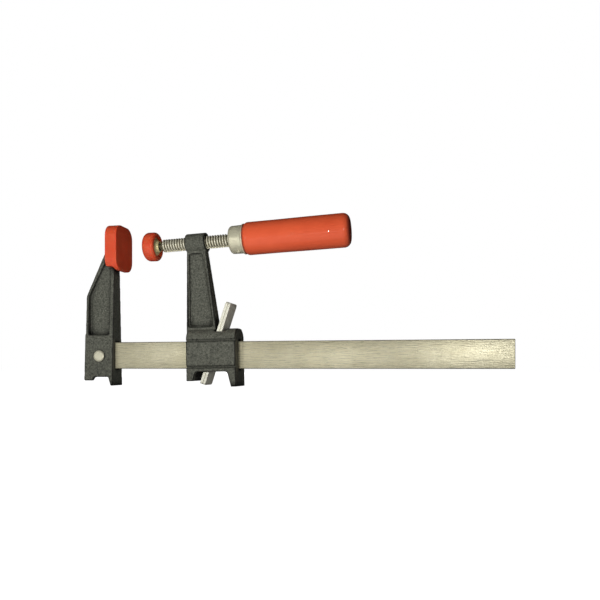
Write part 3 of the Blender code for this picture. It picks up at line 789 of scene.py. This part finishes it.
FERRULE_START = 0.0751
FERRULE_END = 0.0889
FERRULE_BORE = 0.0110
HANDLE_END = 0.1867
PIN_STATION = 0.0833
PIN_TURN = math.radians(20)
PIN_RADIUS = 0.0015
PIN_PLACE = (
    SCREW
    @ Matrix.Translation((0.0, 0.0, PIN_STATION))
    @ Matrix.Rotation(-PIN_TURN, 4, "Z")
    @ Matrix.Rotation(math.pi / 2, 4, "Y")
)


def pin_hole():
    return rod("pin_hole", PIN_RADIUS + CLEARANCE, -0.02, 0.02, PIN_PLACE, 24)


def make_ferrule():
    """The pressed cup: a rounded front edge and a rim rolled out against the handle."""
    profile = rounded([
        (FERRULE_BORE, FERRULE_END, 0.0),
        (0.01400, FERRULE_END, 0.0003),
        (0.01398, FERRULE_END - 0.0009, 0.0004),
        (0.01300, FERRULE_END - 0.0021, 0.0010),
        (0.01270, FERRULE_START, 0.0026),
        (BORE, FERRULE_START, 0.0003),
        (BORE, FERRULE_START + 0.0016, 0.0),
        (FERRULE_BORE, FERRULE_START + 0.0020, 0.0005),
    ], steps=7)
    ferrule = turned("ferrule_cup", profile, SCREW, steps=96, closed=True)
    cut(ferrule, pin_hole())
    smooth_shade(ferrule)
    return ferrule


def make_handle():
    """The turned handle, barrelled a little, with a dished end and a tenon in the ferrule."""
    shoulder = FERRULE_END + CLEARANCE
    tenon = FERRULE_BORE - CLEARANCE
    tenon_end = FERRULE_START + 0.0024
    socket_end = SPINDLE_END + CLEARANCE
    profile = rounded([
        (0.0, HANDLE_END - 0.0002, 0.0),
        (0.0070, HANDLE_END, 0.0030),
        (0.01525, HANDLE_END - 0.0008, 0.0062),
        (0.01520, 0.1500, 0.0),
        (0.01500, 0.1200, 0.0),
        (0.01500, shoulder, 0.0036),
        (tenon, shoulder, 0.0),
        (tenon, tenon_end, 0.0),
        (BORE, tenon_end, 0.0),
        (BORE, socket_end, 0.0),
        (0.0, socket_end, 0.0),
    ], steps=9, closed=False)
    handle = turned("handle_grip", profile, SCREW, steps=96)
    cut(handle, pin_hole())
    smooth_shade(handle)
    return handle


def make_pin():
    """The cross pin, its ends peened into low domes."""
    reach = 0.0140
    head = rounded([
        (0.0, reach, 0.0),
        (PIN_RADIUS * 0.75, reach - 0.0002, 0.0008),
        (PIN_RADIUS, reach - 0.0009, 0.0005),
        (PIN_RADIUS, 0.0, 0.0),
    ], steps=4, closed=False)
    pin = turned("cross_pin", head + mirrored(head[:-1]), PIN_PLACE, steps=32)
    smooth_shade(pin)
    return pin


# ---------------------------------------------------------------- the swivel pad

BALL = 0.0045
BALL_BORE = 0.0025


def make_ball():
    """The ball that turns on the screw's journal, bored right through."""
    edge = math.degrees(math.acos(BALL_BORE / BALL))
    profile = arc((0.0, 0.0), BALL, edge, -edge, 24)
    ball = turned("ball", profile, SCREW, steps=64, closed=True)
    smooth_shade(ball)
    return ball


def make_ring():
    """The cupped ring behind the ball, that keeps it in the shoe."""
    outside = arc((0.0, 0.0), 0.0056, 38, 13, 8)
    inside = arc((0.0, 0.0), BALL + CLEARANCE, 13, 38, 8)
    ring = turned("ball_ring", outside + inside, SCREW, steps=64, closed=True)
    smooth_shade(ring)
    return ring


def make_shoe():
    """The plated shoe: a disc inside the cap, and a bell drawn in over the ball."""
    socket_floor = -0.00515
    seat = BALL + CLEARANCE
    inside = [(0.0, socket_floor), (seat, socket_floor), (seat, 0.0002)]
    inside += arc((0.0, 0.0), 0.0059, 2, 45, 12)
    outside = rounded([
        (0.0043, 0.0050, 0.0),
        (0.00505, 0.0050, 0.0003),
        (0.0053, 0.0036, 0.0010),
        (0.0070, 0.0021, 0.0030),
        (0.0089, 0.0007, 0.0004),
        (0.0089, 0.0, 0.0),
        (0.0110, 0.0, 0.0003),
        (0.0110, -0.0065, 0.0008),
        (0.0, -0.0065, 0.0),
    ], steps=6, closed=False)
    shoe = turned("shoe_bell", inside + outside, SWIVEL, steps=80)
    smooth_shade(shoe)
    return shoe


def make_swivel_cap():
    """The round red cap snapped over the shoe's disc."""
    back = 0.0029
    face = -0.0092
    profile = rounded([
        (0.0, -0.0068, 0.0),
        (0.0113, -0.0068, 0.0),
        (0.0113, 0.0003, 0.0),
        (0.0093, 0.0003, 0.0),
        (0.0093, back, 0.0006),
        (0.0135, back, 0.0028),
        (0.0135, face, 0.0045),
        (0.0, face, 0.0),
    ], steps=9, closed=False)
    cap = turned("swivel_cap_red", profile, SWIVEL, steps=96)
    smooth_shade(cap)
    return cap


# ---------------------------------------------------------------- materials

WHITE = (1.0, 1.0, 1.0)
BLACK = (0.0, 0.0, 0.0)
EVEN = (1.0, 1.0, 1.0)              # a pattern that isn't stretched
AROUND = (0.05, 0.05, 1.0)          # a pattern drawn out around a turned piece


class Paint:
    """A node material: a Principled shader, and short calls for what feeds it."""

    def __init__(self, name, **values):
        self.material = bpy.data.materials.new(name)
        self.material.use_nodes = True
        self.tree = self.material.node_tree
        self.shader = self.tree.nodes["Principled BSDF"]
        self.put(self.shader, values)

    def put(self, node, values):
        """Feed a node's inputs by name: with other nodes' outputs, colours or plain values."""
        for name, value in values.items():
            self.put_one(node.inputs[name.replace("_", " ")], value)

    def put_one(self, socket, value):
        if isinstance(value, bpy.types.NodeSocket):
            self.tree.links.new(value, socket)
        elif socket.type == "RGBA":
            socket.default_value = (*value, 1.0)
        else:
            socket.default_value = value

    def node(self, kind, **inputs):
        node = self.tree.nodes.new(kind)
        self.put(node, inputs)
        return node

    def coordinates(self, scale=EVEN):
        """The object's own coordinates in metres, stretched by scale."""
        place = self.node("ShaderNodeTexCoord").outputs["Object"]
        return self.node("ShaderNodeMapping", Vector=place, Scale=scale).outputs["Vector"]

    def noise(self, size, detail=2.0, roughness=0.5, stretch=EVEN):
        """Noise whose features are about size metres across, from 0 to 1."""
        node = self.node(
            "ShaderNodeTexNoise",
            Vector=self.coordinates(stretch),
            Scale=1.0 / size,
            Detail=detail,
            Roughness=roughness,
        )
        return node.outputs["Fac"]

    def distance(self, axis, low, high):
        """How far a point is from the object's origin along an axis: 0 at low, 1 at high."""
        place = self.node("ShaderNodeTexCoord").outputs["Object"]
        parts = self.node("ShaderNodeSeparateXYZ", Vector=place)
        size = self.node("ShaderNodeMath")
        size.operation = "ABSOLUTE"
        self.put_one(size.inputs[0], parts.outputs[axis])
        span = self.node("ShaderNodeMapRange", Value=size.outputs[0], From_Min=low, From_Max=high)
        return span.outputs["Result"]

    def ramp(self, factor, *stops):
        """A colour ramp of (position, colour) stops."""
        node = self.node("ShaderNodeValToRGB", Fac=factor)
        elements = node.color_ramp.elements
        while len(elements) < len(stops):
            elements.new(0.5)
        for element, (position, color) in zip(elements, stops):
            element.position = position
            element.color = (*color, 1.0)
        return node.outputs["Color"]

    def levels(self, factor, low, high):
        """A factor of 0 to 1 mapped to a range of values."""
        node = self.node("ShaderNodeMapRange", Value=factor, To_Min=low, To_Max=high)
        return node.outputs["Result"]

    def mix(self, factor, first, second, blend="MIX"):
        """Two colours, or colour outputs, mixed by a factor of 0 to 1."""
        node = self.node("ShaderNodeMix")
        node.data_type = "RGBA"
        node.blend_type = blend
        # the mix node gives its factor and colour sockets the same names for each data type
        for index, value in ((0, factor), (6, first), (7, second)):
            self.put_one(node.inputs[index], value)
        return node.outputs[2]

    def bump(self, height, distance, strength, **under):
        """Raise the surface by distance metres where height is 1; Normal= lies under it."""
        node = self.node("ShaderNodeBump", Height=height, Distance=distance, Strength=strength, **under)
        return node.outputs["Normal"]

    def feed(self, **values):
        """Connect the shader's inputs, and give back the finished material."""
        self.put(self.shader, values)
        return self.material


def casting_paint():
    """Black paint over a sand casting: an orange-peel skin, with painted shade in corners and recesses
    and painted shade along sharp edges.
    """
    paint = Paint("black_textured_paint", Specular_IOR_Level=0.3)
    grain = paint.noise(0.0017, 3.0, 0.65)
    fine = paint.noise(0.0007, 2.0, 0.6)
    patches = paint.noise(0.016, 2.0, 0.5)
    base = paint.ramp(grain, (0.33, (0.040, 0.041, 0.033)), (0.66, (0.146, 0.149, 0.117)))
    specks = paint.ramp(fine, (0.60, BLACK), (0.74, WHITE))
    color = paint.mix(specks, base, (0.33, 0.33, 0.27))
    color = paint.mix(paint.levels(patches, 0.0, 0.35), color, (0.070, 0.073, 0.060))
    # painted shade: the colour is darkened where other surfaces close in, in corners, recesses and
    # between parts
    painted_crease_shade = paint.node("ShaderNodeAmbientOcclusion", Distance=0.0085).outputs["AO"]
    shade = paint.ramp(painted_crease_shade, (0.52, (0.03, 0.03, 0.03)), (0.88, WHITE))
    # painted shade: a dark line along sharp outward edges, which turn away from the light
    edge = paint.node("ShaderNodeNewGeometry").outputs["Pointiness"]
    rim = paint.ramp(edge, (0.506, WHITE), (0.535, (0.12, 0.12, 0.12)))
    color = paint.mix(1.0, color, shade, "MULTIPLY")
    color = paint.mix(1.0, color, rim, "MULTIPLY")
    normal = paint.bump(fine, 0.00025, 0.7)
    normal = paint.bump(grain, 0.0007, 0.8, Normal=normal)
    return paint.feed(Base_Color=color, Roughness=paint.levels(fine, 0.42, 0.70), Normal=normal)


def bar_steel():
    """Cold drawn steel under a thin yellowed plating: dull, scored and pitted along the bar, with
    painted shade along its top and bottom edges.
    """
    paint = Paint("drawn_bar_steel", Metallic=0.38)
    lines = paint.noise(0.0008, 3.0, 0.65, (0.06, 1.0, 1.0))
    drag = paint.noise(0.0016, 2.0, 0.6, (0.05, 1.0, 1.0))
    blotch = paint.noise(0.0024, 3.0, 0.7, (0.40, 1.0, 1.0))
    stain = paint.noise(0.030, 3.0, 0.55)
    color = paint.ramp(stain, (0.35, (0.47, 0.43, 0.27)), (0.70, (0.56, 0.52, 0.35)))
    color = paint.mix(paint.levels(blotch, 0.0, 0.45), color, (0.68, 0.65, 0.50))
    scratches = paint.ramp(drag, (0.58, BLACK), (0.72, (0.8, 0.8, 0.8)))
    color = paint.mix(scratches, color, (0.34, 0.32, 0.22))
    # painted shade: a dark line along the bar's rounded top and bottom edges
    half_height = (rail_high.z - rail_low.z) / 2
    corner = paint.distance("Z", half_height - 0.0008, half_height - 0.0003)
    color = paint.mix(corner, color, (0.13, 0.12, 0.085))
    normal = paint.bump(lines, 0.00016, 0.8)
    normal = paint.bump(blotch, 0.00008, 0.5, Normal=normal)
    return paint.feed(Base_Color=color, Roughness=paint.levels(lines, 0.20, 0.36), Normal=normal)


def plated_steel(name, color, roughness, stretch=EVEN):
    """Zinc over steel, or bare steel, with fine lines where the pattern is stretched."""
    paint = Paint(name, Metallic=0.45)
    fine = paint.noise(0.0006, 3.0, 0.6, stretch)
    cloud = paint.noise(0.006, 2.0, 0.5)
    dark = tuple(part * 0.80 for part in color)
    shade = paint.ramp(cloud, (0.30, dark), (0.70, color))
    low = roughness - 0.08
    high = roughness + 0.10
    normal = paint.bump(fine, 0.00003, 0.5)
    return paint.feed(Base_Color=shade, Roughness=paint.levels(fine, low, high), Normal=normal)


def screw_steel():
    """Zinc on the thread's crests, its colour darker towards the roots of the thread."""
    paint = Paint("screw_zinc", Metallic=0.45)
    flat = (1.0, 1.0, 0.0)
    across = paint.node("ShaderNodeVectorMath", Vector=paint.coordinates(flat))
    across.operation = "LENGTH"
    radius = across.outputs["Value"]
    height = paint.node("ShaderNodeMapRange", Value=radius, From_Min=CORE, From_Max=CREST)
    cloud = paint.noise(0.006, 2.0, 0.5)
    crest = paint.ramp(cloud, (0.30, (0.78, 0.74, 0.56)), (0.70, (0.92, 0.89, 0.72)))
    # the colour is darker towards the roots of the thread
    darker_towards_root = paint.ramp(height.outputs["Result"], (0.15, (0.22, 0.21, 0.17)), (0.70, WHITE))
    color = paint.mix(1.0, crest, darker_towards_root, "MULTIPLY")
    return paint.feed(Base_Color=color, Roughness=paint.levels(cloud, 0.26, 0.38))


def clutch_steel():
    """Dull stamped steel, streaked up the plates' sheared edges."""
    paint = Paint("stamped_steel", Metallic=0.25)
    grain = paint.noise(0.0009, 3.0, 0.6)
    shear = paint.noise(0.0008, 2.0, 0.5, (1.0, 1.0, 0.25))
    color = paint.ramp(shear, (0.30, (0.80, 0.77, 0.62)), (0.72, (0.96, 0.95, 0.82)))
    normal = paint.bump(grain, 0.00008, 0.6)
    return paint.feed(Base_Color=color, Roughness=paint.levels(grain, 0.34, 0.60), Normal=normal)


def red_moulding():
    """Soft red plastic, that lets some red light through."""
    paint = Paint("red_moulding", Specular_IOR_Level=0.4, Subsurface_Weight=0.45)
    paint.put(paint.shader, {"Subsurface Radius": (0.0060, 0.0008, 0.0004)})
    cloud = paint.noise(0.012, 2.0, 0.5)
    fine = paint.noise(0.0007, 2.0, 0.6)
    color = paint.ramp(cloud, (0.30, (0.66, 0.080, 0.030)), (0.72, (0.74, 0.098, 0.038)))
    normal = paint.bump(fine, 0.00004, 0.4)
    return paint.feed(Base_Color=color, Roughness=paint.levels(cloud, 0.38, 0.50), Normal=normal)


def red_lacquer():
    """Clear coated red lacquer over turned wood, with painted shade on the handle's end."""
    paint = Paint("red_lacquer", Specular_IOR_Level=0.3, Coat_Weight=0.35, Coat_Roughness=0.035)
    grain = paint.noise(0.0012, 3.0, 0.6, (1.0, 1.0, 0.06))
    cloud = paint.noise(0.020, 2.0, 0.5)
    color = paint.ramp(cloud, (0.28, (0.70, 0.096, 0.034)), (0.74, (0.78, 0.118, 0.044)))
    color = paint.mix(paint.levels(grain, 0.0, 0.12), color, (0.45, 0.05, 0.02))
    # painted shade: the handle's end, turned away from the light, is painted darker
    end = paint.distance("Z", HANDLE_END - 0.0025, HANDLE_END - 0.0005)
    color = paint.mix(end, color, (0.36, 0.055, 0.030))
    normal = paint.bump(grain, 0.00004, 0.35)
    return paint.feed(Base_Color=color, Roughness=paint.levels(cloud, 0.50, 0.60), Normal=normal)


# ---------------------------------------------------------------- stage, lights and camera

def seen_by_camera(tree, lit, shown):
    """Mix two shaders: one that lights the clamp, and one that the picture shows."""
    path = tree.nodes.new("ShaderNodeLightPath")
    blend = tree.nodes.new("ShaderNodeMixShader")
    tree.links.new(path.outputs["Is Camera Ray"], blend.inputs[0])
    tree.links.new(lit, blend.inputs[1])
    tree.links.new(shown, blend.inputs[2])
    return blend.outputs[0]


def make_floor():
    """A wide white sheet, lit so that it meets the white backdrop without a line."""
    shape = bmesh.new()
    bmesh.ops.create_grid(shape, x_segments=8, y_segments=8, size=6.0)
    floor = new_object("floor", shape, Matrix.Translation((0.0, 0.0, jaw_low.z - 0.0002)))
    paint = Paint("white_floor", Base_Color=(0.45, 0.45, 0.45), Roughness=0.8)
    glow = paint.node("ShaderNodeEmission", Color=WHITE, Strength=1.0)
    both = paint.tree.nodes.new("ShaderNodeAddShader")
    paint.tree.links.new(glow.outputs[0], both.inputs[0])
    paint.tree.links.new(paint.shader.outputs[0], both.inputs[1])
    shown = seen_by_camera(paint.tree, paint.shader.outputs[0], both.outputs[0])
    paint.tree.links.new(shown, paint.tree.nodes["Material Output"].inputs["Surface"])
    floor.data.materials.append(paint.material)


ROOM_LIGHT = 0.003


def make_world():
    """White paper behind the clamp in the picture, and a dim grey room around it."""
    world = bpy.data.worlds.new("studio")
    bpy.context.scene.world = world
    world.use_nodes = True
    tree = world.node_tree
    tree.nodes.clear()
    output = tree.nodes.new("ShaderNodeOutputWorld")
    room = tree.nodes.new("ShaderNodeBackground")
    paper = tree.nodes.new("ShaderNodeBackground")
    for light, strength in ((room, ROOM_LIGHT), (paper, 1.0)):
        light.inputs["Color"].default_value = (*WHITE, 1.0)
        light.inputs["Strength"].default_value = strength
    shown = seen_by_camera(tree, room.outputs[0], paper.outputs[0])
    tree.links.new(shown, output.inputs["Surface"])


def add_light(name, place, target, size, power, glossy=True):
    """A rectangular area light in bench coordinates, aimed at a bench point."""
    light = bpy.data.lights.new(name, "AREA")
    light.shape = "RECTANGLE"
    light.size = size[0]
    light.size_y = size[1]
    light.energy = power
    lamp = bpy.data.objects.new(name, light)
    place = BENCH @ Vector(place)
    aim = BENCH @ Vector(target) - place
    lamp.location = place
    lamp.rotation_euler = aim.to_track_quat("-Z", "Y").to_euler()
    lamp.visible_camera = False
    lamp.visible_glossy = glossy
    bpy.context.scene.collection.objects.link(lamp)


def light_scene():
    """A key with its own small highlight, pale cards around the clamp, and a soft light behind it."""
    jaws = (0.120, 0.0, 0.05)
    add_light("key", (0.050, -0.60, 0.085), jaws, (0.05, 0.05), 2.15, glossy=False)
    add_light("key_highlight", (0.158, -0.60, 0.013), jaws, (0.005, 0.03), 0.20)
    add_light("left_card", (-0.30, -0.78, 0.02), (0.03, 0.0, 0.0), (0.28, 0.25), 0.75)
    add_light("right_card", (0.50, -0.62, 0.0), (0.35, 0.0, 0.0), (0.22, 0.22), 1.25)
    add_light("table", (0.10, -0.17, FLOOR + 0.001), (0.10, -0.17, 1.0), (0.50, 0.20), 0.16)
    add_light("back_soft", (-0.10, 1.4, 0.45), (0.15, 0.0, 0.0), (1.2, 0.7), 9.0, glossy=False)


def make_camera():
    """Level with the bar, looking along the clamp a little to the left."""
    camera_data = bpy.data.cameras.new("camera")
    camera_data.sensor_width = 36.0
    camera_data.lens = 36.78
    camera_data.shift_y = 0.1117
    camera_data.clip_start = 0.01
    camera = bpy.data.objects.new("camera", camera_data)
    camera.location = BENCH @ Vector((0.2896, -0.5446, -0.0111))
    camera.rotation_euler = (math.pi / 2, 0.0, math.radians(11.4))
    bpy.context.scene.collection.objects.link(camera)
    bpy.context.scene.camera = camera


# ---------------------------------------------------------------- the whole clamp

def place(piece, body, slot, material, node):
    """Finish a piece: its material, the body it rides on and the node it stands for."""
    piece.data.materials.clear()
    piece.data.materials.append(material)
    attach(piece, body)
    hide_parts(node)


def build_clamp():
    """Every piece, on its body, in place of its node."""
    casting = casting_paint()
    moulding = red_moulding()
    zinc = plated_steel("ferrule_zinc", (0.86, 0.82, 0.60), 0.38, AROUND)
    thread = screw_steel()
    rivet_zinc = plated_steel("rivet_zinc", (0.82, 0.79, 0.60), 0.42)
    wire = plated_steel("spring_wire", (0.42, 0.42, 0.43), 0.35)
    turned_steel = plated_steel("turned_steel", (0.52, 0.52, 0.52), 0.25, AROUND)
    yellow = plated_steel("yellow_zinc", (0.92, 0.80, 0.40), 0.30, AROUND)
    stamped = clutch_steel()

    place(make_bar(), "rail", "bar_steel", bar_steel(), "rail")
    place(make_fixed_jaw(), "rail", "jaw_paint", casting, "fixed_jaw")
    place(make_rivet(), "rail", "rivet_steel", rivet_zinc, "jaw_rivet")
    place(make_fixed_pad(), "rail", "pad_red", moulding, "fixed_pad_cap")

    place(make_sliding_jaw(), "sliding_arm", "jaw_paint", casting, "sliding_jaw")
    for side, end in ((-1, "near"), (1, "far")):
        spring = make_clutch_spring(f"plate_spring_{end}", side)
        place(spring, "sliding_arm", "spring_steel", wire, f"clutch_spring_{end}")
    for index, position in ((1, -1), (2, 1)):
        plate = make_clutch_plate(f"grip_plate_{index}", position)
        place(plate, "clutch", "clutch_steel", stamped, f"clutch_plate_{index}")

    place(make_spindle(), "spindle", "screw_steel", thread, "spindle")
    place(make_ferrule(), "spindle", "ferrule_steel", zinc, "ferrule")
    place(make_handle(), "spindle", "handle_red", red_lacquer(), "handle")
    place(make_pin(), "spindle", "rivet_steel", rivet_zinc, "handle_pin")
    place(make_ball(), "swivel_ball", "joint_steel", turned_steel, "swivel_ball")
    place(make_ring(), "swivel_ring", "joint_steel", turned_steel, "swivel_ring")
    place(make_shoe(), "swivel_pad", "shoe_zinc", yellow, "swivel_shoe")
    place(make_swivel_cap(), "swivel_pad", "pad_red", moulding, "swivel_cap")


build_clamp()
make_floor()
make_world()
light_scene()
make_camera()
bpy.context.scene.view_settings.view_transform = "Standard"
